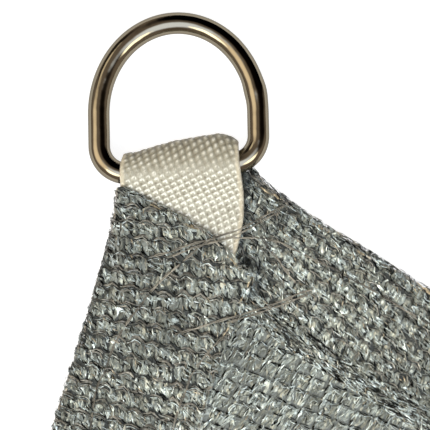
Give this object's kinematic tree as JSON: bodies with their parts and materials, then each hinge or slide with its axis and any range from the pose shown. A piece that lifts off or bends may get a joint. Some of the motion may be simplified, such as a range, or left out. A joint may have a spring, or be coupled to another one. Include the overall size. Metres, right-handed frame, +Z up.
{
  "type": "square shade sail",
  "caption": "Flat square knitted shade sail with hollow sides, folded hems, and at every corner a sewn webbing loop that holds a steel D-ring.",
  "frame": {"origin": "middle of the sail, on the surface that it lies on", "axes": "+Z up through the hem side; +X and +Y along the sides of the square. The corner at -X +Y is the one in the picture, and the others are it turned by quarter turns."},
  "size_m": [3.0052, 3.0052, 0.0118],
  "materials": {
    "knit_cloth": "grey knitted polyethylene tape yarn, semi-matt with small glints",
    "webbing": "cream woven polyester webbing, matt",
    "steel": "polished stainless steel"
  },
  "bodies": {
    "root": {"sail_cloth": "knit_cloth", "webbing_1": "webbing", "webbing_2": "webbing", "webbing_3": "webbing", "webbing_4": "webbing", "d_ring_1": "steel", "d_ring_2": "steel", "d_ring_3": "steel", "d_ring_4": "steel"}
  },
  "joints": []
}
